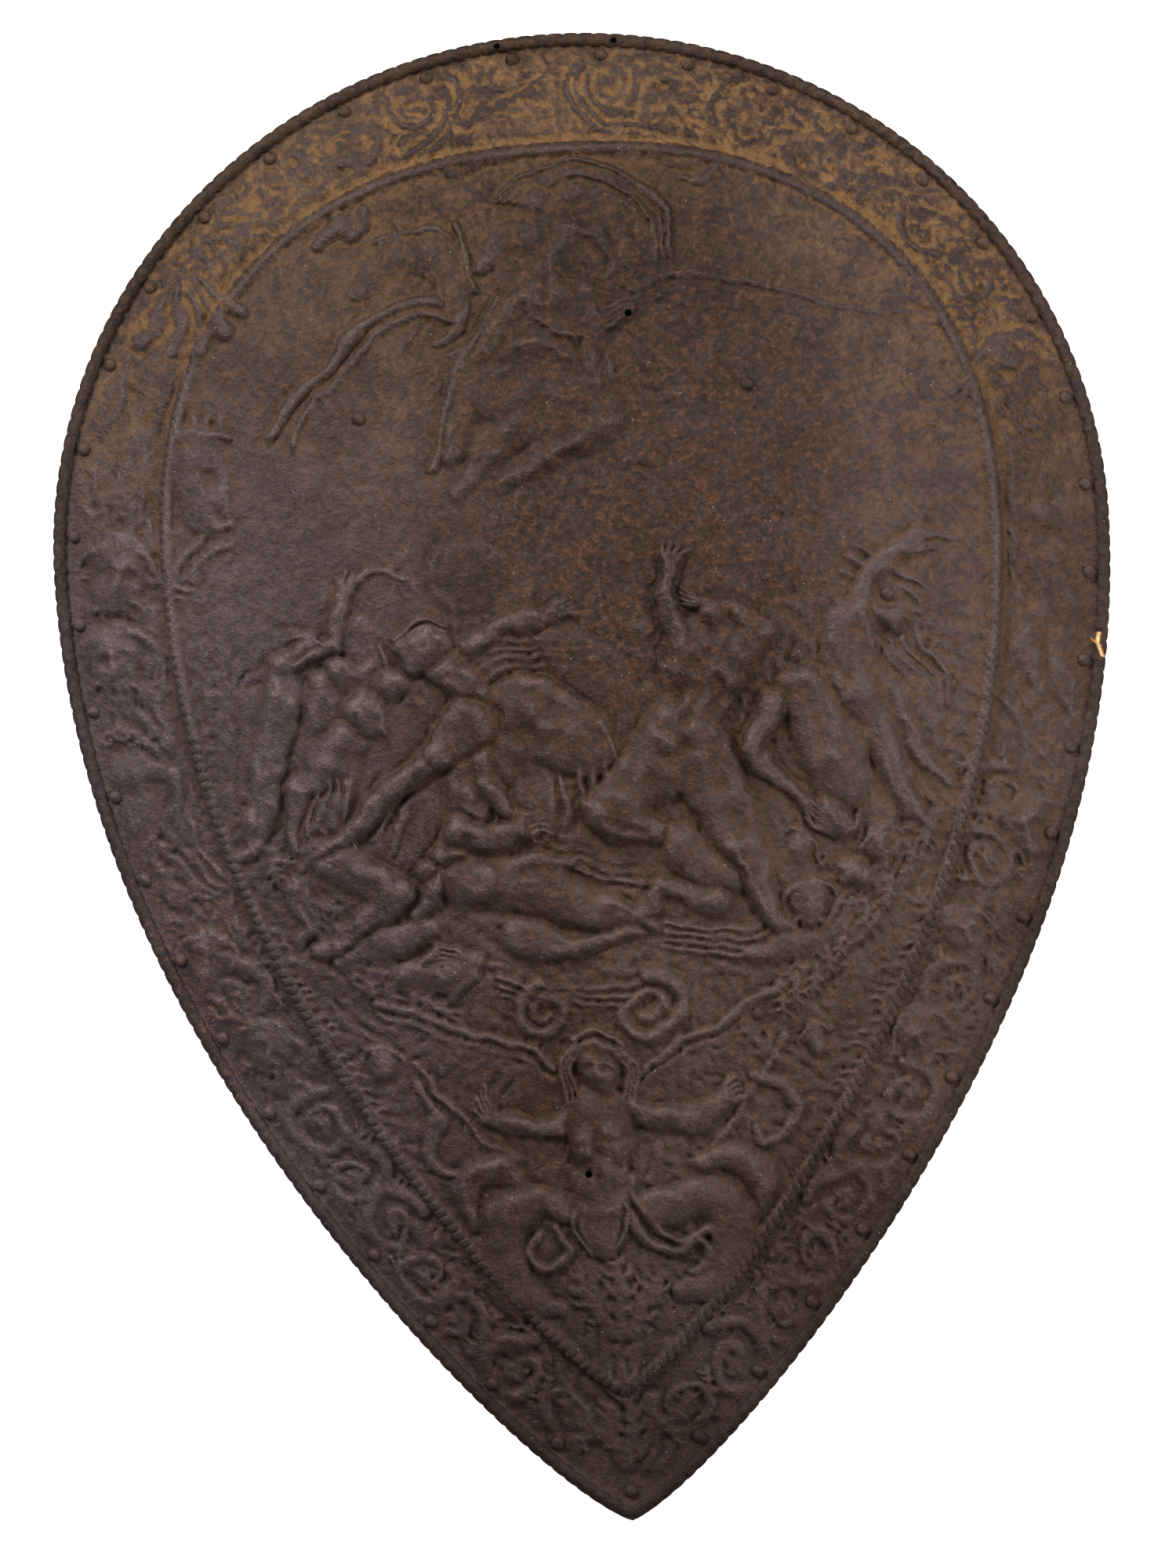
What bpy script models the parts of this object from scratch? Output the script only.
"""Embossed parade shield: a domed, drop-shaped bronze plate with a rolled rim, a roped frame,
a battle scene in relief and a row of domed rivets. It lies face up on its rim, +Z up, with the
point towards -Y."""

import math

import bpy
import numpy as np
from mathutils import Vector
from mathutils.geometry import delaunay_2d_cdt

# Plate, in metres
LENGTH = 0.640
WIDTH = 0.454
WIDEST = 0.4206  # the widest line, above the point
CROWN = 0.048  # rise of the dome above its edge
WALL = 0.0015
RIM_DIAMETER = 0.0064
RIM_FLAT = 0.0036  # width of the flat that the rim lies on
PLATE_SEAT = 0.0036  # height above the ground of the dome's edge, where it meets the rim
RELIEF = 0.72  # height of the carving, as a share of the drawing's
FULLNESS = 1.18  # breadth of the bodies against their drawing

# Roped frame round the scene, measured inwards from the outline
FRAME_SIDE = 0.0495
FRAME_TOP = 0.0504
FRAME_POINT = 0.0570
FRAME_WIDTH = 0.0060
FRAME_HEIGHT = 0.0030

# Rivets
RIVET_HEAD = 0.0062
RIVET_RISE = 0.0026
RIVET_SHANK = 0.0032
RIVET_TAIL = 0.0012  # how far the shank stands out behind the plate
RIVET_INSET = 0.0098
RIVET_SPACING = 0.0378
RIVET_SEAT = 0.0070  # radius round a rivet that is left without carving
CLEARANCE = 0.0003
HEAD_GAP = 0.0006
HANGING_HOLE = 0.0024
HANGING_HOLES_APART = 0.050
LOST_RIVET_HOLE = 0.0030

# Outline and mesh
LOWER_POWER = 0.8
FRAME_POWER = 2.35
POINT_STRETCH = 1.4  # an inset is this much longer at the point than at the sides
LOWER_CROWN_POWER = 1.6
UPPER_CROWN_POWER = 2.0
NODE_SPACING = 2.0  # millimetres of the drawing
HOLLOW_INSET = 0.0040  # how much smaller the hollows behind the carving are than it
HOLLOW_SHARE = 0.9
DEEPEST_GROOVE = 0.8  # millimetres
THINNEST = 0.0010
FRONT_POINTS = 2110
BACK_POINTS = 340
FITTING_ROUNDS = 12
SEAT_CARE = 6  # how much more closely the plate is followed under a rivet's head
FRAME_SEGMENTS = 64
RIM_SEGMENTS = 80
RIM_TURNS = tuple(math.radians(degrees) for degrees in (105, 45, -15))
HOLE_SIDES = 6
RIVET_SIDES = 6

# The drawing of the carving is in millimetres from the centre of a plate of this size.
# What it places stretches with the plate.
DRAWN_LENGTH = 640.0
DRAWN_WIDTH = 454.0
DRAWN_WIDEST = 420.6
MM = 0.001

FIELD_RIVETS = {
    "strap_rivet_upper_left": (-92, 158),
    "strap_rivet_upper_right": (74, 164),
    "strap_rivet_right": (129, 72),
    "strap_rivet_lower": (65, -104),
}
LOST_RIVETS = ((25, 197), (-11, -169))


def from_drawing(u, v):
    """Place on the plate, in metres, of a point of the drawing."""
    above = np.interp(v + DRAWN_LENGTH / 2, (0, DRAWN_WIDEST, DRAWN_LENGTH), (0, WIDEST, LENGTH))
    return np.asarray(u) * WIDTH / DRAWN_WIDTH, above - LENGTH / 2


def half_width(y, side=0.0, top=0.0, point=0.0, power=2.0):
    """Half the width of the drop outline at y, inset by its distances at side, top and point."""
    above = y + LENGTH / 2
    lower = np.clip((above - point) / (WIDEST - point), 0, 1)
    upper = np.clip((above - WIDEST) / (LENGTH - WIDEST - top), 0, 1)
    shares = np.where(
        above < WIDEST,
        np.sin(math.pi / 2 * lower) ** LOWER_POWER,
        (1 - upper**power) ** (1 / power),
    )
    return (WIDTH / 2 - side) * shares


def drop_loop(count, side=0.0, top=None, point=None, power=2.0):
    """Evenly spaced points round an inset outline, counter-clockwise from its point."""
    top = side if top is None else top
    point = side * POINT_STRETCH if point is None else point
    turns = np.linspace(0, math.pi / 2, 400)
    lower = point + (WIDEST - point) * (1 - np.cos(turns))
    upper = WIDEST + (LENGTH - WIDEST - top) * np.sin(turns[1:]) ** (2 / power)
    y = np.concatenate([lower, upper]) - LENGTH / 2
    right = np.stack([half_width(y, side, top, point, power), y], axis=1)
    right[0, 0] = right[-1, 0] = 0
    along = np.concatenate([[0], np.cumsum(np.hypot(*np.diff(right, axis=0).T))])
    wanted = np.linspace(0, 2 * along[-1], count, endpoint=False)
    back = np.where(wanted > along[-1], 2 * along[-1] - wanted, wanted)
    x = np.interp(back, along, right[:, 0]) * np.where(wanted > along[-1], -1, 1)
    return np.stack([x, np.interp(back, along, right[:, 1])], axis=1)


def shoulder_width(y):
    """Half the width of the plate inside its rolled rim."""
    return half_width(y, RIM_DIAMETER, RIM_DIAMETER, RIM_DIAMETER * POINT_STRETCH)


def distance_to_loop(x, y, loop):
    """Distance from each point to a closed outline."""
    nearest = np.full(x.shape, np.inf)
    for a, b in zip(loop, np.roll(loop, -1, axis=0)):
        edge = b - a
        share = ((x - a[0]) * edge[0] + (y - a[1]) * edge[1]) / (edge @ edge)
        share = np.clip(share, 0, 1)
        nearest = np.minimum(nearest, np.hypot(x - a[0] - share * edge[0], y - a[1] - share * edge[1]))
    return nearest


def dome(x, y):
    """Height of the plain dome above its edge."""
    half = np.maximum(shoulder_width(y), 1e-6)
    power = np.where(y + LENGTH / 2 < WIDEST, LOWER_CROWN_POWER, UPPER_CROWN_POWER)
    return CROWN * np.clip(1 - (x / half) ** 2, 0, 1) * (half / (WIDTH / 2 - RIM_DIAMETER)) ** power


def swell(share):
    """Rounded section of a carved form: 1 in its middle, 0 at its edge."""
    return (1 - np.clip(share, 0, 1) ** 2.3) ** 0.6


def soft_max(a, b, blend):
    return np.maximum(a, b) + np.clip(blend - np.abs(a - b), 0, None) ** 2 / (4 * blend)


def smooth_line(points, steps=5):
    """Catmull-Rom curve through a few points."""
    p = np.asarray(points, float)
    if len(p) < 3:
        return p
    ends = np.concatenate([[2 * p[0] - p[1]], p, [2 * p[-1] - p[-2]]])
    t = np.linspace(0, 1, steps, endpoint=False)[:, None]
    runs = [
        b + 0.5 * ((c - a) * t + (2 * a - 5 * b + 4 * c - d) * t**2 + (3 * b - a - 3 * c + d) * t**3)
        for a, b, c, d in zip(ends, ends[1:], ends[2:], ends[3:])
    ]
    return np.concatenate(runs + [p[-1:]])


def spread(values, count):
    """The values, spaced evenly over a number of points."""
    values = np.atleast_1d(values).astype(float)
    return np.interp(np.linspace(0, 1, count), np.linspace(0, 1, len(values)), values)


def scroll_line(centre, radius, turns, start, hand, inner=0.25, steps=30):
    """A spiral that winds inwards from an angle in degrees; hand is 1 counter-clockwise, -1 clockwise."""
    t = np.linspace(0, 1, steps)
    r = radius * (1 - (1 - inner) * t)
    angle = math.radians(start) + hand * math.tau * turns * t
    return np.stack([centre[0] + r * np.cos(angle), centre[1] + r * np.sin(angle)], axis=1)


class Relief:
    """Height of the carving over the dome, on a grid of the drawing, in millimetres."""

    def __init__(self, spacing):
        self.across = np.arange(-DRAWN_WIDTH / 2, DRAWN_WIDTH / 2 + spacing, spacing)
        self.across -= self.across.mean()
        self.along = np.arange(-DRAWN_LENGTH / 2, DRAWN_LENGTH / 2 + spacing, spacing)
        self.u, self.v = np.meshgrid(self.across, self.along)
        self.height = np.zeros_like(self.u)

    def window(self, points, margin):
        low, high = points.min(axis=0) - margin, points.max(axis=0) + margin
        rows = np.searchsorted(self.along, (low[1], high[1]))
        columns = np.searchsorted(self.across, (low[0], high[0]))
        return slice(*rows), slice(*columns)

    def tube(self, window, points, widths, heights):
        """Height of a rounded form along a line, and the distance outside its edge."""
        u, v = self.u[window], self.v[window]
        top, gap = np.zeros_like(u), np.full_like(u, 99.0)
        w, h = spread(widths, len(points)), spread(heights, len(points))
        if len(points) == 1:
            points, w, h = points[[0, 0]], w[[0, 0]], h[[0, 0]]
        for a, b, w_a, w_b, h_a, h_b in zip(points, points[1:], w, w[1:], h, h[1:]):
            edge = b - a
            share = ((u - a[0]) * edge[0] + (v - a[1]) * edge[1]) / max(edge @ edge, 1e-9)
            share = np.clip(share, 0, 1)
            off = np.hypot(u - a[0] - share * edge[0], v - a[1] - share * edge[1])
            width = w_a + (w_b - w_a) * share
            top = np.maximum(top, (h_a + (h_b - h_a) * share) * swell(off / width))
            gap = np.minimum(gap, off - width)
        return top, gap

    def lay(self, window, top, gap, layer, groove):
        """Lays a form over what is there, with a chased groove round it."""
        ground = self.height[window]
        inside = np.clip(0.5 - gap, 0, 1)
        ring = np.exp(-((np.clip(gap, 0, None) / 1.8) ** 2)) * (1 - inside)
        self.height[window] = ground * (1 - inside) + (layer + top) * inside - groove * ring

    def ridge(self, points, widths, heights, groove=0.4):
        """A raised line that merges with what it meets."""
        line = smooth_line(points)
        window = self.window(line, np.max(widths) + 5)
        top, gap = self.tube(window, line, widths, heights)
        ring = np.exp(-((np.clip(gap, 0, None) / 1.5) ** 2))
        ground = self.height[window]
        self.height[window] = np.where(gap < 0, soft_max(ground, top, 0.5), ground - groove * ring)

    def boss(self, centre, width, length, turn, height, groove=0.0):
        """An oval swelling, or a hollow where its height is negative."""
        centre = np.asarray(centre, float)
        window = self.window(centre[None], max(width, length) + 4)
        u, v = self.u[window] - centre[0], self.v[window] - centre[1]
        c, s = math.cos(math.radians(turn)), math.sin(math.radians(turn))
        share = np.hypot((u * c + v * s) / width, (v * c - u * s) / length)
        ring = np.exp(-((np.clip((share - 1) * min(width, length), 0, None) / 1.5) ** 2)) * (share > 1)
        self.height[window] += height * swell(share) - groove * ring


ARM_SWELL = (((0.0, 1.12), (0.35, 1.0), (1.0, 0.80)), ((0.3, 0.92), (1.0, 0.52)))
LEG_SWELL = (((0.0, 1.2), (0.35, 1.12), (1.0, 0.72)), ((0.3, 0.80), (1.0, 0.40)))


class Figure:
    """A carved body: its parts are gathered as rounded forms and laid down as one."""

    def __init__(self, relief, layer):
        self.relief, self.layer, self.parts = relief, layer, []

    def part(self, points, widths, heights):
        self.parts.append((np.atleast_2d(points).astype(float), widths, heights))

    def limb(self, joints, swelling, thick, heights):
        points, widths = [], []
        for a, b, rows in zip(np.asarray(joints, float), np.asarray(joints[1:], float), swelling):
            for share, size in rows:
                points.append(a + (b - a) * share)
                widths.append(size * thick)
        self.part(np.array(points), widths, heights)

    def arm(self, joints, thick, heights):
        """Shoulder, elbow and wrist."""
        self.limb(joints, ARM_SWELL, FULLNESS * thick, heights)

    def leg(self, joints, thick, heights):
        """Hip, knee and ankle, and the toes where they show."""
        thick = FULLNESS * thick
        self.limb(joints[:3], LEG_SWELL, thick, heights)
        if len(joints) > 3:
            self.part(joints[2:], (0.42 * thick, 0.30 * thick), np.atleast_1d(heights)[-1] * 0.8)

    def torso(self, chest, hips, half, heights, waist=0.8):
        half = FULLNESS * half
        points = [np.add(chest, np.subtract(hips, chest) * share) for share in (0, 0.62, 1)]
        self.part(points, (half, half * waist, half * 0.92), heights)

    def head(self, centre, radius, height, neck=None):
        if neck is not None:
            self.part((neck, centre), radius * 0.6, height * 0.75)
        self.part(centre, radius, height)

    def place(self, groove=1.0):
        every = np.concatenate([points for points, _, _ in self.parts])
        margin = max(np.max(widths) for _, widths, _ in self.parts) + 5
        window = self.relief.window(every, margin)
        top = np.zeros_like(self.relief.u[window])
        gap = np.full_like(top, 99.0)
        for points, widths, heights in self.parts:
            part_top, part_gap = self.relief.tube(window, points, widths, heights)
            top = np.where(part_top > 0, soft_max(top, part_top, 0.9), top)
            gap = np.minimum(gap, part_gap)
        self.relief.lay(window, top, gap, self.layer, groove)


def draw_sky(relief):
    """Tower and hill on the left, a cloud on the right and the line of a sail across the top."""
    relief.ridge(((-158, 152), (-158, 118)), (12, 12.5), (3.4, 3.0), 0.6)
    relief.boss((-153, 139), 4.5, 3.6, 0, -3.0)
    relief.ridge(((-174, 92), (-169, 107), (-161, 115), (-153, 117)), 2.4, 2.0, 0.8)
    relief.ridge(((25, 208), (48, 212), (86, 205), (122, 194), (159, 192)), (2.2, 1.4), (2.4, 1.2))
    relief.boss((88, 90), 22, 16, -10, 3.2, 0.9)
    relief.boss((-92, 238), 10, 7, 40, 3.0, 0.6)


def draw_wing(relief):
    relief.boss((-88, 190), 40, 14, 30, 1.2)
    edge = ((-46, 205), (-62, 207), (-76, 205), (-97, 191), (-111, 178), (-122, 166), (-131, 152))
    relief.ridge(edge, (3.4, 2.6, 2.2, 1.8), (4.5, 3.4, 2.6, 1.8), 0.8)
    relief.ridge(((-46, 205), (-48, 197), (-54, 190)), (3.0, 2.2), (4.0, 1.5), 1.2)
    for feather in range(4):
        step = 5.0 * feather
        tip = (-126 + step * 0.9, 145 - step * 0.2)
        middle = (-114 + step * 0.8, 163 - step * 0.5)
        relief.ridge(((-100 + step, 178 - step * 0.4), middle, tip), (2.6, 1.6), (2.0, 0.8), 0.3)
    relief.ridge(((-81, 229), (-68, 235), (-54, 236), (-45, 224), (-42, 210)), (3.2, 2.8), (2.2, 3.2))
    relief.boss((-62, 222), 20, 12, -10, 2.2)


def draw_rider(relief):
    """The rearing mount, its rider and the cloak that blows over them."""
    mount = Figure(relief, 0.6)
    mount.part(((-30, 168), (0, 163), (16, 170)), (20, 19, 15), (6.5, 6.0, 4.5))
    mount.leg(((-34, 176), (-46, 158), (-58, 143), (-63, 136)), 9, (5.5, 3.2))
    mount.leg(((6, 150), (-14, 146), (-38, 131), (-46, 126)), 8.5, (5.5, 3.4))
    mount.part(((8, 180), (20, 186), (26, 172)), (11, 9, 5), (5.0, 4.0, 2.6))
    mount.place()
    rider = Figure(relief, 0.8)
    rider.torso((6, 228), (-8, 202), 15, (6.0, 5.5))
    rider.head((-9, 243), 7.5, 5.5, neck=(0, 236))
    rider.arm(((-4, 232), (-22, 228), (-34, 214)), 5.4, (5.0, 3.0))
    rider.leg(((-8, 200), (-26, 188), (-44, 176)), 9.0, (6.0, 4.0))
    rider.place()
    cloak = ((-26, 252), (-9, 260), (15, 262), (34, 252), (42, 238), (48, 222), (40, 212), (25, 208))
    relief.ridge(cloak, (2.4, 3.0, 3.0, 2.4), (2.6, 3.6, 4.0, 2.6), 0.8)


def draw_left_men(relief):
    behind = Figure(relief, 0.3)
    behind.head((-107, 43), 8.0, 4.6)
    behind.torso((-112, 34), (-116, 14), 10, (4.0, 3.4))
    behind.place(0.7)
    striker = Figure(relief, 0.8)
    striker.torso((-129, 46), (-137, 18), 8.2, (6.5, 5.5), 0.9)
    striker.leg(((-136, 14), (-141, -6), (-145, -24), (-150, -28)), 6.8, (5.5, 4.0))
    striker.arm(((-127, 52), (-105, 62), (-98, 84)), 4.8, (6.0, 5.0, 4.0))
    striker.part((-97, 88), 4.6, 4.5)
    striker.part((-126, 60), 5.4, 4.5)
    striker.place(1.2)


def draw_shield_bearer(relief):
    """The man in the middle, bent over, with a disc held up behind him."""
    relief.boss((-51, 88), 18, 17, 0, 2.6, 0.8)
    far_arm = Figure(relief, 0.5)
    far_arm.arm(((-53, 55), (-36, 64), (-16, 70)), 4.6, (4.5, 3.2))
    far_arm.place(0.6)
    body = Figure(relief, 1.0)
    body.part(((-46, 22), (-24, 26), (-4, 14)), (17, 19, 17), (7.5, 7.8, 6.5))
    body.part((-21, 30), 13, 9.0)
    body.part(((-62, 50), (-50, 38)), (8, 10), (5.5, 6.5))
    body.leg(((-46, 8), (-61, -25), (-70, -45), (-77, -57)), 11.0, (7.5, 6.0))
    body.place(1.2)
    head = Figure(relief, 1.2)
    head.head((-69, 55), 11.0, 6.8, neck=(-58, 42))
    head.part((-82, 43), 7.0, 5.0)
    head.place()
    near_arm = Figure(relief, 2.0)
    near_arm.arm(((-51, 20), (-45, -1), (-35, -17)), 5.6, (7.0, 6.2, 5.2))
    near_arm.part(((-35, -17), (-28, -20)), (3.6, 3.0), (4.8, 3.6))
    near_arm.place()
    low_arm = Figure(relief, 1.4)
    low_arm.arm(((-60, -20), (-43, -25), (-25, -20)), 6.0, (6.0, 5.0))
    low_arm.place()
    thrown_leg = Figure(relief, 2.0)
    thrown_leg.leg(((-46, 24), (-64, 22), (-112, -25), (-133, -41)), 8.6, (7.0, 6.6, 4.6))
    thrown_leg.place(1.2)


def draw_kneeling_man(relief):
    body = Figure(relief, 0.6)
    body.torso((-112, 14), (-116, -26), 12, (6.0, 5.4))
    body.leg(((-116, -24), (-128, -42), (-124, -62)), 8, (5.0, 3.4))
    body.place()
    front = Figure(relief, 1.2)
    front.head((-96, 30), 9.6, 6.5, neck=(-108, 20))
    front.part(((-104, 24), (-116, 12)), (8, 9), (6.0, 6.4))
    front.arm(((-112, 12), (-127, 2), (-129, -16)), 5.8, (6.6, 6.0, 5.0))
    front.part(((-129, -14), (-126, -30)), (4.6, 3.2), (5.0, 3.6))
    front.place(1.1)
    knee = Figure(relief, 1.4)
    knee.leg(((-117, -30), (-87, -46), (-113, -66), (-119, -70)), 9.4, (6.6, 6.8, 4.6))
    knee.place(1.2)


def draw_right_men(relief):
    far_leg = Figure(relief, 0.5)
    far_leg.leg(((118, 40), (133, 18), (145, -6)), 7.0, (4.8, 3.4))
    far_leg.place(0.8)
    archer = Figure(relief, 0.8)
    archer.torso((113, 58), (111, 34), 12, (5.8, 5.6))
    archer.head((130, 62), 7.2, 4.6, neck=(121, 62))
    archer.arm(((116, 64), (122, 79), (137, 92)), 5.0, (5.4, 4.2))
    archer.part(((137, 92), (154, 96)), (2.8, 2.0), (3.4, 2.6))
    archer.leg(((113, 30), (125, 6), (134, -20), (141, -26)), 9.6, (6.6, 5.0))
    archer.place(1.2)
    stooping = Figure(relief, 1.0)
    stooping.part(((92, 30), (102, 10), (106, -8)), (14, 15.5, 13), (6.6, 7.4, 6.4))
    stooping.part((101, -20), 9.5, 6.0)
    stooping.place(1.2)
    arm = Figure(relief, 1.8)
    arm.arm(((78, 26), (69, 6), (88, -15)), 5.4, (6.6, 6.0, 5.2))
    arm.part(((88, -15), (97, -25)), (3.4, 3.0), (4.6, 3.6))
    arm.place()


def draw_striding_man(relief):
    head = Figure(relief, 1.4)
    head.head((53, 63), 8.2, 5.0)
    head.place(0.6)
    body = Figure(relief, 1.6)
    body.torso((51, 48), (39, 16), 17.5, (8.0, 7.6), 0.82)
    body.arm(((43, 54), (34, 70), (34, 84)), 5.6, (7.0, 5.6, 4.6))
    body.arm(((65, 48), (73, 60), (50, 72)), 5.8, (7.0, 5.6, 4.6))
    body.leg(((44, 9), (61, -33), (74, -67), (87, -78)), 11.0, (8.0, 7.0, 4.8))
    body.leg(((34, 9), (1, -17), (24, -22), (37, -24)), 12.0, (8.4, 8.2, 5.6))
    body.place(1.4)
    relief.boss((23, 62), 6, 6, 0, 2.0, 0.4)


def draw_fallen_men(relief):
    hip = Figure(relief, 0.8)
    hip.part(((36, -30), (54, -48)), (11, 9), (6.0, 5.2))
    hip.place(0.9)
    man = Figure(relief, 0.6)
    man.torso((-54, -42), (-24, -46), 12, (6.2, 5.4))
    man.leg(((-26, -48), (-4, -56), (14, -60), (20, -62)), 8.6, (5.6, 4.2))
    man.head((-73, -38), 6.0, 4.4)
    man.place(1.1)
    arm = Figure(relief, 0.8)
    arm.arm(((48, -56), (25, -46), (15, -60)), 4.8, (5.0, 4.4, 3.4))
    arm.place(0.8)
    leg = Figure(relief, 0.5)
    leg.leg(((-36, -68), (-12, -73), (10, -67)), 6.6, (4.4, 3.4))
    leg.place()
    heads = (((110, -46), 10), ((89, -58), 10.5), ((86, -34), 8), ((120, -32), 8.5))
    for centre, radius in heads:
        head = Figure(relief, 0.8)
        head.head(centre, radius, 5.6)
        head.place()


def draw_ground(relief):
    """A rock and the head of a sea beast at the men's feet."""
    rock = Figure(relief, 0.8)
    rock.part(((-112, -72), (-88, -66), (-70, -62)), (3.5, 8.0, 4.5), (3.0, 4.2, 3.2))
    rock.place(0.6)
    beast = Figure(relief, 0.8)
    beast.part(((-84, -80), (-68, -80), (-56, -76)), (8, 11, 6), (4.5, 5.5, 3.5))
    beast.place()
    relief.boss((-68, -79), 4.4, 4.4, 0, 1.6)
    relief.ridge(((-62, -68), (-57, -82), (-66, -90)), 2.2, 6.0)


def draw_swags(relief):
    """Bundles of leaves that cross from the frame to the lower panel."""
    strands = np.linspace(-7, 7, 4)
    for o in strands:
        right = ((145 + o, -22), (127 + o, -45 - o * 0.4), (107 + o, -69 - o * 0.6), (91, -84 - o), (72, -92 - o))
        left = ((-152 - o, -27), (-141 - o, -52 - o * 0.4), (-123 - o, -74 - o * 0.6), (-101, -88 - o), (-76, -97 - o))
        for line in (right, left):
            relief.ridge(line, (2.2, 2.8, 2.0), (1.8, 2.8, 2.0), 0.3)


def draw_grotesque(relief):
    """The winged, fish-tailed figure in the lower panel, under two ram's horns."""
    relief.ridge(scroll_line((-28, -99), 14, 1.6, 90, 1), (3.8, 2.0), (3.6, 2.4), 0.6)
    relief.ridge(scroll_line((19, -100), 15, 1.6, 90, -1), (3.8, 2.0), (3.6, 2.4), 0.6)
    for side in (-1, 1):
        wing = ((-4 + side * 20, -116), (-4 + side * 48, -105), (-4 + side * 78, -96))
        relief.ridge(wing, (2.6, 1.8), (3.0, 1.6), 0.8)
        arm = Figure(relief, 0.6)
        arm.arm(((1 + side * 14, -143), (1 + side * 38, -145), (1 + side * 50, -141)), 5.4, (4.6, 3.0))
        arm.place(0.7)
        outer = scroll_line((1 + side * 43, -182), 22, 0.8, 90, -side, inner=0.55)
        relief.ridge(outer, (8.5, 5.0), (4.2, 3.0), 0.8)
        inner = scroll_line((side * 32, -198), 19, 1.15, 90 + side * 10, -side, inner=0.3)
        relief.ridge(inner, (8.0, 3.0), (5.0, 3.0), 0.8)
        for leaf in range(4):
            angle = math.radians(-90 + side * (12 + 22 * leaf))
            reach = 38 - 5 * leaf
            root = (2 + 6 * math.cos(angle), -204 + 6 * math.sin(angle))
            tip = (2 + reach * math.cos(angle), -204 + reach * math.sin(angle))
            relief.ridge((root, tip), (3.2, 3.0, 1.4), (3.0, 2.6, 1.0), 0.5)
    body = Figure(relief, 1.0)
    body.torso((2, -146), (1, -182), 14, (5.8, 5.2), 0.72)
    body.part((0, -194), 12, 5.6)
    body.place()
    for side in (-1, 1):
        relief.boss((1 + side * 8.5, -155), 7, 7, 0, 2.2)
    head = Figure(relief, 1.6)
    head.head((-6, -124), 13, 6.0)
    head.place()


def leaf_spray(relief, root, heading, opening, leaves, reach):
    """Leaves that fan out from a root, the middle ones longest; angles are in degrees."""
    for angle in np.linspace(heading - opening / 2, heading + opening / 2, leaves):
        length = reach * (1 - 0.35 * abs(angle - heading) / opening)
        turn = math.radians(angle)
        tip = (root[0] + length * math.cos(turn), root[1] + length * math.sin(turn))
        middle = (root[0] + 0.55 * length * math.cos(turn), root[1] + 0.55 * length * math.sin(turn))
        relief.ridge((root, middle, tip), (2.2, 3.6, 1.6), (3.4, 3.4, 1.6), 0.5)


def draw_border_chain(relief, masks):
    """Masks down one side of the border, with gathered drapes hung between them."""
    for upper, lower in zip(masks, masks[1:]):
        inwards = -math.copysign(5, upper[0])
        middle = ((upper[0] + lower[0]) / 2 + inwards, (upper[1] + lower[1]) / 2)
        relief.ridge((upper, middle, lower), (4.5, 6.5, 4.5), (2.2, 3.4, 2.2), 0.5)
        relief.ridge((upper, (middle[0] - 2.2 * inwards, middle[1]), lower), (2.0, 3.0, 2.0), (2.0, 2.6, 2.0))
    for centre in masks:
        mask = Figure(relief, 0.4)
        mask.part(((centre[0], centre[1] + 4), (centre[0], centre[1] - 4)), (10, 7.5), (5.0, 4.2))
        mask.place(0.7)


def draw_border(relief):
    """Scrolls and leaves round the top of the border, masks down its sides and leaves at its point."""
    relief.ridge(scroll_line((-64, 293), 13.5, 1.5, 20, 1), (4.0, 2.4), (3.4, 2.4), 0.5)
    relief.ridge(((-51, 290), (-48, 275), (-60, 263), (-80, 257)), (4.4, 2.4), (3.2, 2.0), 0.5)
    relief.ridge(scroll_line((23, 297), 14, 1.5, 160, -1), (4.0, 2.4), (3.4, 2.4), 0.5)
    relief.ridge(((9, 300), (11, 286), (28, 275), (56, 268)), (4.4, 2.4), (3.2, 2.0), 0.5)
    relief.ridge(((54, 301), (78, 292), (98, 278)), (2.4, 4.4, 2.4), (2.0, 3.4, 2.0), 0.5)
    leaf_spray(relief, (-92, 262), 165, 80, 5, 36)
    leaf_spray(relief, (128, 258), -30, 70, 4, 38)
    leaf_spray(relief, (-163, 226), -105, 100, 7, 30)
    draw_border_chain(relief, ((-186, 130), (-199, 88), (-203, 50), (-192, 6), (-177, -40), (-163, -78), (-143, -112)))
    draw_border_chain(relief, ((187, 149), (196, 88), (187, 28), (173, -24), (155, -78), (132, -122)))
    for side in (-1, 1):
        band = ((side * 122, -150), (side * 92, -190), (side * 66, -228), (side * 46, -250))
        relief.ridge(band, (5.0, 6.5, 5.5, 4.0), (2.6, 3.6, 3.4, 2.6), 0.6)
        relief.ridge(scroll_line((side * 104, -178), 9, 1.2, 90, side), (3.0, 2.0), (3.4, 2.4), 0.5)
        relief.ridge(scroll_line((side * 27, -270), 9, 1.2, 90, side), (3.4, 2.2), (3.6, 2.4), 0.5)
    leaf_spray(relief, (0, -296), 90, 80, 5, 34)


DRAWINGS = (
    draw_sky,
    draw_wing,
    draw_rider,
    draw_left_men,
    draw_kneeling_man,
    draw_shield_bearer,
    draw_right_men,
    draw_striding_man,
    draw_fallen_men,
    draw_ground,
    draw_swags,
    draw_grotesque,
    draw_border,
)


def rivet_spots():
    """Place on the plate of each rivet, by name, going round from the point."""
    length = np.hypot(*(np.roll(drop_loop(400, RIVET_INSET), -1, axis=0) - drop_loop(400, RIVET_INSET)).T).sum()
    count = round(length / RIVET_SPACING)
    row = {f"border_rivet_{k + 1:02d}": spot for k, spot in enumerate(drop_loop(count, RIVET_INSET))}
    field = {name: np.array(from_drawing(*spot)) for name, spot in FIELD_RIVETS.items()}
    return {**row, **field}


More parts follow.
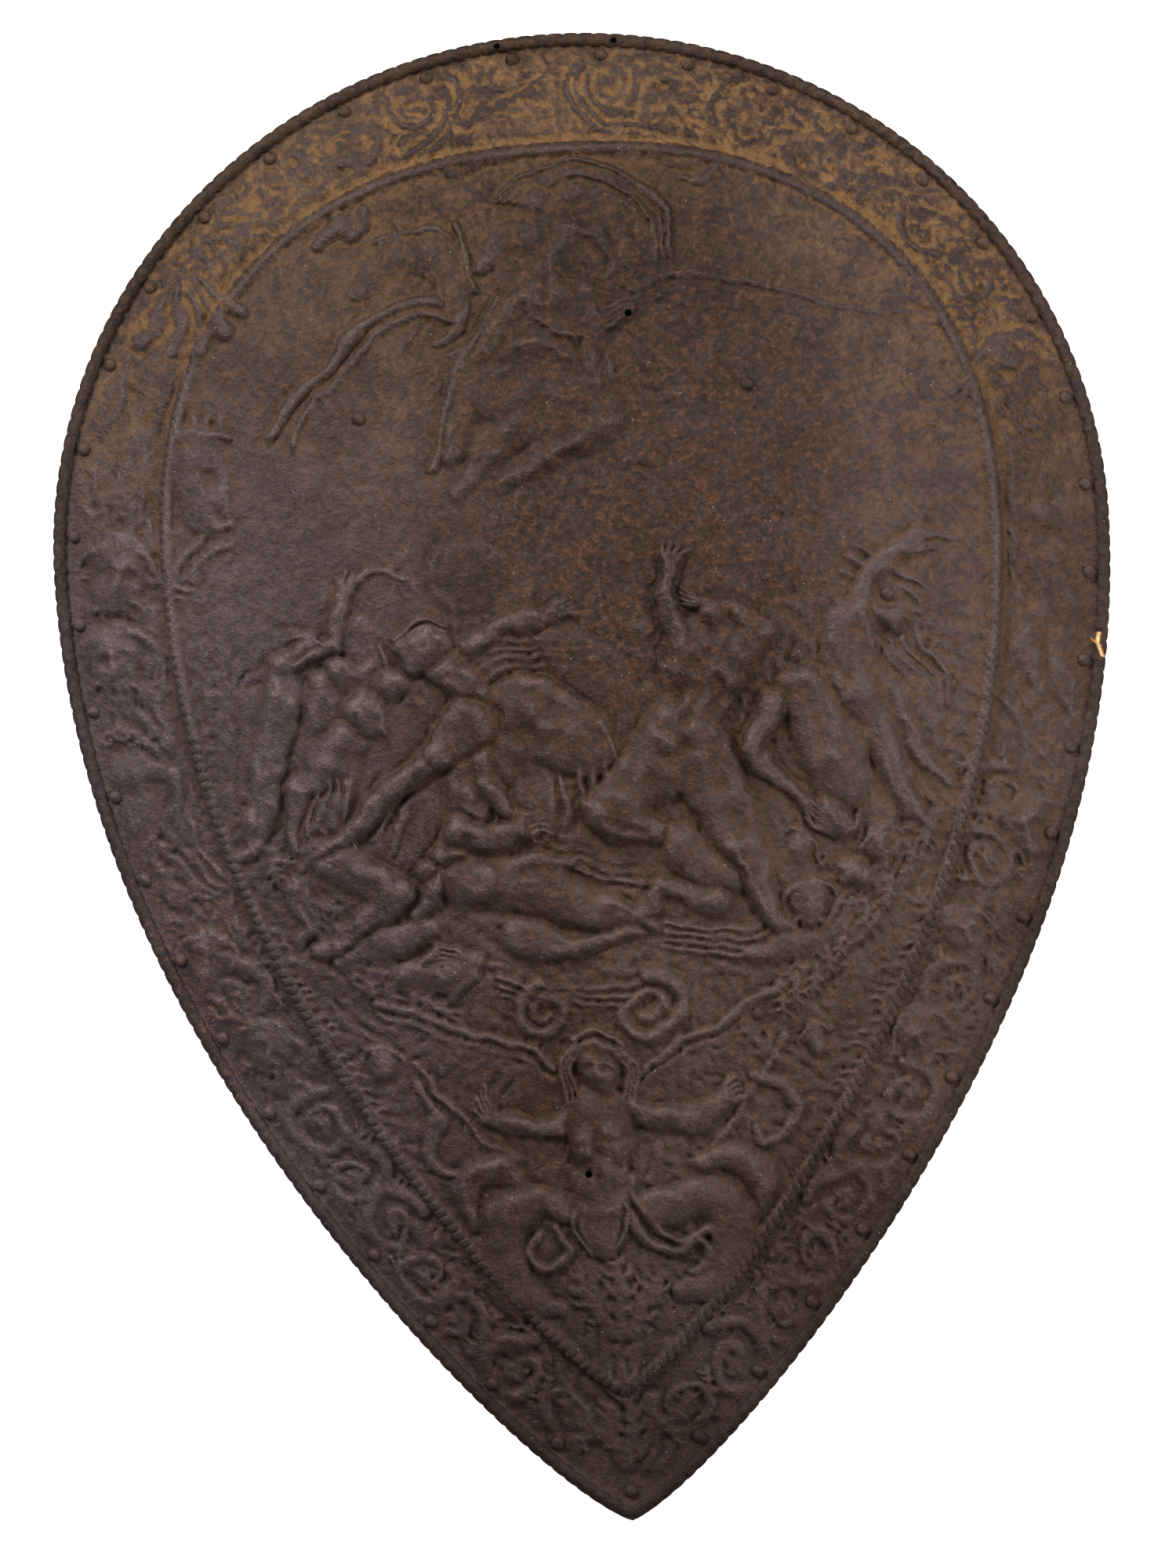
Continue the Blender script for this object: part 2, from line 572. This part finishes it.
def narrowed(height, reach):
    """Each node takes the lowest height within a reach of nodes, so forms shrink by that much."""
    for axis in (0, 1):
        shifts = [np.roll(height, shift, axis) for shift in range(-reach, reach + 1)]
        height = np.min(shifts, axis=0)
    return height


def softened(height, reach):
    for axis in (0, 1):
        shifts = [np.roll(height, shift, axis) for shift in range(-reach, reach + 1)]
        height = np.mean(shifts, axis=0)
    return height


def seat_of(spot):
    """The plate's plain face at a place, and the direction that it faces."""
    x, y = spot
    step = 1e-4
    slope_x = (dome(x + step, y) - dome(x - step, y)) / (2 * step)
    slope_y = (dome(x, y + step) - dome(x, y - step)) / (2 * step)
    point = Vector((x, y, PLATE_SEAT + float(dome(x, y))))
    return point, Vector((-slope_x, -slope_y, 1)).normalized()


def bore_rings(spots, diameters):
    """The corners of each bore through the front, and of its other end at the back."""
    turns = math.tau * np.arange(HOLE_SIDES) / HOLE_SIDES
    front, back = [], []
    for spot, diameter in zip(spots, diameters):
        seat, facing = seat_of(spot)
        turn = facing.to_track_quat("Z", "Y")
        for angle in turns:
            corner = seat + turn @ Vector((math.cos(angle), math.sin(angle), 0)) * diameter / 2
            front.append(corner[:])
            back.append((corner - facing * WALL)[:])
    return np.array(front), np.array(back)


def frame_lines():
    """Points along the crest of the roped frame and both its feet."""
    lines = []
    for across, rise in ((-0.5, 0), (0, FRAME_HEIGHT), (0.5, 0)):
        shift = across * FRAME_WIDTH
        loop = drop_loop(FRAME_SEGMENTS, FRAME_SIDE + shift, FRAME_TOP + shift, FRAME_POINT + shift, FRAME_POWER)
        lines.append(np.column_stack([loop, PLATE_SEAT + dome(*loop.T) + rise]))
    return np.concatenate(lines)


class Skin:
    """A face of the plate: heights on the drawing's grid, and the triangles that follow them.
    Care is how much a misfit counts at each node; none may be a corner where it is 0."""

    def __init__(self, x, y, height, care, edge, rings, lines, count):
        self.x, self.y, self.height, self.care = x, y, height, care
        self.bored = len(edge) + len(rings)
        self.points = np.concatenate([edge, rings, lines])
        self.fixed = len(self.points)
        self.lines = []
        for first in range(self.bored, self.fixed, FRAME_SEGMENTS):
            steps = range(FRAME_SEGMENTS)
            self.lines += [(first + k, first + (k + 1) % FRAME_SEGMENTS) for k in steps]
        for left in range(FITTING_ROUNDS, 0, -1):
            self.triangulate()
            found = sorted((self.misfit(corners) for corners in self.points[self.triangles]), reverse=True)
            wanted = (count + self.fixed - len(self.points)) // left
            nodes = tuple(np.array([node for _, node in found[:wanted]]).T)
            added = np.stack([x[nodes], y[nodes], height[nodes]], axis=1)
            self.points = np.concatenate([self.points, added])
        self.triangulate()

    def triangulate(self):
        """Delaunay triangles between the points, seen from above, without those across a bore."""
        plan = [Vector(point) for point in self.points[:, :2].tolist()]
        _, _, faces, origins, _, _ = delaunay_2d_cdt(plan, self.lines, [], 0, 1e-9)
        triangles = np.array([[origins[k][0] for k in face] for face in faces])
        a, b, c = self.points[triangles, :2].transpose(1, 0, 2)
        turned = (b - a)[:, 0] * (c - a)[:, 1] < (b - a)[:, 1] * (c - a)[:, 0]
        triangles[turned] = triangles[turned, ::-1]
        bore = np.where(triangles < self.bored, (triangles - RIM_SEGMENTS) // HOLE_SIDES, -1)
        across = (bore[:, 0] >= 0) & (bore[:, 0] == bore[:, 1]) & (bore[:, 1] == bore[:, 2])
        self.triangles = triangles[~across]

    def under(self, corners):
        """The grid's nodes within a triangle, and its height over them."""
        (x_a, y_a, z_a), (x_b, y_b, z_b), (x_c, y_c, z_c) = corners
        low, high = corners.min(axis=0), corners.max(axis=0)
        rows = slice(*np.searchsorted(self.y[:, 0], (low[1], high[1])))
        columns = slice(*np.searchsorted(self.x[0], (low[0], high[0])))
        x, y = self.x[rows, columns] - x_a, self.y[rows, columns] - y_a
        area = (x_b - x_a) * (y_c - y_a) - (y_b - y_a) * (x_c - x_a)
        share_b = (x * (y_c - y_a) - y * (x_c - x_a)) / area
        share_c = (y * (x_b - x_a) - x * (y_b - y_a)) / area
        inside = (share_b >= 0) & (share_c >= 0) & (share_b + share_c <= 1)
        return (rows, columns), inside, z_a + share_b * (z_b - z_a) + share_c * (z_c - z_a)

    def misfit(self, corners):
        """How much a triangle is off, over all its nodes, and the node where it is most off."""
        window, inside, flat = self.under(corners)
        error = np.abs(flat - self.height[window]) * inside * self.care[window]
        if error.size == 0:
            return 0.0, (0, 0)
        row, column = np.unravel_index(error.argmax(), error.shape)
        return float(error.sum()), (int(row + window[0].start), int(column + window[1].start))

    def covered(self):
        """The triangles' own height at every node."""
        heights = self.height.copy()
        for corners in self.points[self.triangles]:
            window, inside, flat = self.under(corners)
            heights[window] = np.where(inside, flat, heights[window])
        return heights

    def keep_below(self, ceiling):
        """Lowers the free corners of each triangle that comes above a ceiling."""
        drop = np.zeros(len(self.points))
        for triangle in self.triangles:
            window, inside, flat = self.under(self.points[triangle])
            over = np.max(np.where(inside, flat - ceiling[window], 0), initial=0)
            drop[triangle] = np.maximum(drop[triangle], over)
        self.points[self.fixed:, 2] -= drop[self.fixed:]


def plate_skins(spots, diameters):
    """The front of the plate, and the back with soft hollows behind the carving."""
    relief = Relief(NODE_SPACING)
    for draw in DRAWINGS:
        draw(relief)
    x, y = from_drawing(relief.u, relief.v)
    carving = np.maximum(relief.height, -DEEPEST_GROOVE) * MM * RELIEF
    frame = drop_loop(160, FRAME_SIDE, FRAME_TOP, FRAME_POINT, FRAME_POWER)
    ridge = FRAME_HEIGHT * swell(2 * distance_to_loop(x, y, frame) / FRAME_WIDTH)
    carving = np.where(ridge > 0, soft_max(carving, ridge, 0.5 * MM), carving)
    shoulder = drop_loop(RIM_SEGMENTS, RIM_DIAMETER)
    margin = distance_to_loop(x, y, shoulder)
    spacing = NODE_SPACING * MM
    care = 1.0 * (np.abs(x) < shoulder_width(y)) * (margin > spacing)
    care *= distance_to_loop(x, y, frame) > (FRAME_WIDTH + spacing) / 2
    for spot, diameter in zip(spots, diameters):
        off = np.hypot(x - spot[0], y - spot[1])
        carving *= 1 - np.exp(-((off / RIVET_SEAT) ** 4))
        care *= np.where(off < RIVET_HEAD, SEAT_CARE, 1) * (off > diameter / 2 + spacing / 2)
    carving *= np.clip(margin / RIM_DIAMETER, 0, 1)
    plain = PLATE_SEAT + dome(x, y)
    edge = np.column_stack([shoulder, PLATE_SEAT + dome(*shoulder.T)])
    front_rings, back_rings = bore_rings(spots, diameters)
    front = Skin(x, y, plain + carving, care, edge, front_rings, frame_lines(), FRONT_POINTS)
    inset = max(1, round(HOLLOW_INSET / spacing))
    hollow = softened(softened(narrowed(np.maximum(carving, 0), inset), inset), inset)
    behind = plain - WALL + HOLLOW_SHARE * hollow
    edge[:, 2] -= WALL
    back = Skin(x, y, behind, care, edge, back_rings, np.empty((0, 3)), BACK_POINTS)
    back.keep_below(np.where(care > 0, front.covered() - THINNEST, np.inf))
    return front, back


def ring_pairs(first, second, count):
    """Faces between two loops of vertices that start at these numbers."""
    steps = [(k, (k + 1) % count) for k in range(count)]
    return [(first + k, second + k, second + after, first + after) for k, after in steps]


def plate_mesh(spots, diameters):
    """The whole plate as one closed mesh: front, rolled rim with a flat underside, bores and back."""
    front, back = plate_skins(spots, diameters)
    behind = len(front.points)
    faces = front.triangles.tolist() + (back.triangles[:, ::-1] + behind).tolist()
    for bore in range(len(spots)):
        first = RIM_SEGMENTS + bore * HOLE_SIDES
        faces += ring_pairs(behind + first, first, HOLE_SIDES)
    radius = RIM_DIAMETER / 2
    centre = math.sqrt(radius**2 - (RIM_FLAT / 2) ** 2)
    sections = [(radius - radius * math.cos(turn), centre + radius * math.sin(turn)) for turn in RIM_TURNS]
    sections += [(radius - RIM_FLAT / 2, 0.0), (radius + RIM_FLAT / 2, 0.0)]
    vertices = np.concatenate([front.points, back.points]).tolist()
    last = 0
    for inset, height in sections:
        faces += ring_pairs(last, len(vertices), RIM_SEGMENTS)
        last = len(vertices)
        vertices += [(x, y, height) for x, y in drop_loop(RIM_SEGMENTS, inset).tolist()]
    faces += ring_pairs(last, behind, RIM_SEGMENTS)
    mesh = bpy.data.meshes.new("plate")
    mesh.from_pydata(vertices, [], faces)
    return mesh


def clear_scene():
    for obj in list(bpy.data.objects):
        bpy.data.objects.remove(obj)


def metal(name, colour, roughness):
    material = bpy.data.materials.new(name)
    material.use_nodes = True
    shader = material.node_tree.nodes["Principled BSDF"]
    shader.inputs["Base Color"].default_value = (*colour, 1)
    shader.inputs["Roughness"].default_value = roughness
    shader.inputs["Metallic"].default_value = 0.6
    return material


def add_object(name, mesh, material=None):
    obj = bpy.data.objects.new(name, mesh)
    bpy.context.scene.collection.objects.link(obj)
    if material:
        mesh.materials.append(material)
    return obj


def turned_mesh(name, profile, sides):
    """A closed solid of revolution from (radius, height) pairs, top to bottom, with its ends on the axis."""
    rings = []
    vertices = [(0, 0, profile[0][1])]
    for radius, height in profile[1:-1]:
        first = len(vertices)
        for side in range(sides):
            angle = math.tau * side / sides
            vertices.append((radius * math.cos(angle), radius * math.sin(angle), height))
        rings.append(range(first, first + sides))
    vertices.append((0, 0, profile[-1][1]))
    faces = []
    for side in range(sides):
        after = (side + 1) % sides
        faces.append((0, rings[0][side], rings[0][after]))
        for upper, lower in zip(rings, rings[1:]):
            faces.append((upper[side], lower[side], lower[after], upper[after]))
        faces.append((rings[-1][side], len(vertices) - 1, rings[-1][after]))
    mesh = bpy.data.meshes.new(name)
    mesh.from_pydata(vertices, [], faces)
    return mesh


def rivet_mesh():
    """A domed head over a plain shank, with the plate's face at height 0."""
    head, shank = RIVET_HEAD / 2, RIVET_SHANK / 2
    end = -WALL - RIVET_TAIL
    profile = (
        (0, RIVET_RISE),
        (head * 0.66, RIVET_RISE * 0.78),
        (head, HEAD_GAP),
        (shank, HEAD_GAP),
        (shank, end),
        (0, end),
    )
    return turned_mesh("rivet", profile, RIVET_SIDES)


def stand_on_plate(obj, spot):
    point, facing = seat_of(spot)
    obj.location = point
    obj.rotation_mode = "QUATERNION"
    obj.rotation_quaternion = facing.to_track_quat("Z", "Y")


def hanging_spots():
    """Two holes through the rolled rim beside the top."""
    x = HANGING_HOLES_APART / 2
    inset = RIM_DIAMETER / 2
    rise = LENGTH - WIDEST - inset
    y = WIDEST - LENGTH / 2 + rise * math.sqrt(1 - (x / (WIDTH / 2 - inset)) ** 2)
    return ((-x, y), (x, y))


def drill_rim(plate):
    radius = HANGING_HOLE / 2
    through = 2 * RIM_DIAMETER
    profile = ((0, through), (radius, through), (radius, -through), (0, -through))
    for side, (x, y) in zip(("left", "right"), hanging_spots()):
        cutter = add_object(f"hanging_bore_{side}", turned_mesh("hanging_bore", profile, HOLE_SIDES))
        cutter.location = (x, y, 0)
        cutter.hide_render = True
        cutter.display_type = "WIRE"
        drill = plate.modifiers.new(f"{side} hanging hole", "BOOLEAN")
        drill.operation = "DIFFERENCE"
        drill.object = cutter


def build():
    clear_scene()
    rivets = rivet_spots()
    bronze = metal("patinated bronze", (0.055, 0.040, 0.034), 0.55)
    dark = metal("dark bronze", (0.035, 0.028, 0.027), 0.5)
    spots = list(rivets.values()) + [from_drawing(*spot) for spot in LOST_RIVETS]
    bores = [RIVET_SHANK + 2 * CLEARANCE] * len(rivets) + [LOST_RIVET_HOLE] * len(LOST_RIVETS)
    plate = add_object("plate", plate_mesh(spots, bores), bronze)
    drill_rim(plate)
    mesh = rivet_mesh()
    mesh.materials.append(dark)
    for name, spot in rivets.items():
        stand_on_plate(add_object(name, mesh), spot)
    for obj in bpy.context.scene.collection.objects:
        obj.data.shade_smooth()
        obj.data.set_sharp_from_angle(angle=math.radians(40))


build()
